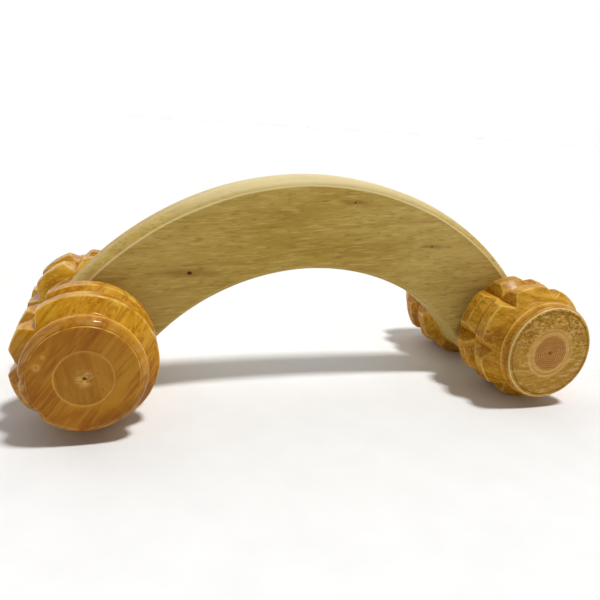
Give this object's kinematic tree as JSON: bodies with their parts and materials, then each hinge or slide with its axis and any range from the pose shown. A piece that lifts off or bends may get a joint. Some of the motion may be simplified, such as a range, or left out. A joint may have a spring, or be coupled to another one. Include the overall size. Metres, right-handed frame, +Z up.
{
  "type": "foot massage roller",
  "caption": "Arched wooden handle with knobbed turned wooden rollers at both ends that roll under the foot or over the back.",
  "frame": {"origin": "on the floor plane below the middle of the handle, at the centre of the footprint", "axes": "+X along the handle from left to right, +Y along the axles towards the back, +Z up"},
  "size_m": [0.204, 0.084, 0.0785],
  "materials": {
    "handle_wood": "sanded pale hardwood, satin",
    "roller_wood": "amber varnish, glossy",
    "plug_wood": "amber varnish, glossy",
    "axle_steel": "bright drawn rod",
    "washer_steel": "zinc plated"
  },
  "bodies": {
    "handle": {"arch_handle": "handle_wood", "axle_left": "axle_steel", "axle_right": "axle_steel", "spacer_washer_front_left": "washer_steel", "outer_washer_front_left": "washer_steel", "axle_cap_front_left": "washer_steel", "spacer_washer_front_right": "washer_steel", "outer_washer_front_right": "washer_steel", "axle_cap_front_right": "washer_steel", "spacer_washer_back_left": "washer_steel", "outer_washer_back_left": "washer_steel", "axle_cap_back_left": "washer_steel", "spacer_washer_back_right": "washer_steel", "outer_washer_back_right": "washer_steel", "axle_cap_back_right": "washer_steel"},
    "roller_front_left_body": {"roller_front_left": "roller_wood", "end_plug_front_left": "plug_wood"},
    "roller_front_right_body": {"roller_front_right": "roller_wood", "end_plug_front_right": "plug_wood"},
    "roller_back_left_body": {"roller_back_left": "roller_wood", "end_plug_back_left": "plug_wood"},
    "roller_back_right_body": {"roller_back_right": "roller_wood", "end_plug_back_right": "plug_wood"}
  },
  "joints": [
    {"name": "front_left_spin", "type": "hinge", "parent": "handle", "child": "roller_front_left_body", "pos_m": [-0.08, 0, 0.022], "axis": [0, 1, 0], "continuous": true},
    {"name": "front_right_spin", "type": "hinge", "parent": "handle", "child": "roller_front_right_body", "pos_m": [0.08, 0, 0.022], "axis": [0, 1, 0], "continuous": true},
    {"name": "back_left_spin", "type": "hinge", "parent": "handle", "child": "roller_back_left_body", "pos_m": [-0.08, 0, 0.022], "axis": [0, 1, 0], "continuous": true},
    {"name": "back_right_spin", "type": "hinge", "parent": "handle", "child": "roller_back_right_body", "pos_m": [0.08, 0, 0.022], "axis": [0, 1, 0], "continuous": true}
  ]
}
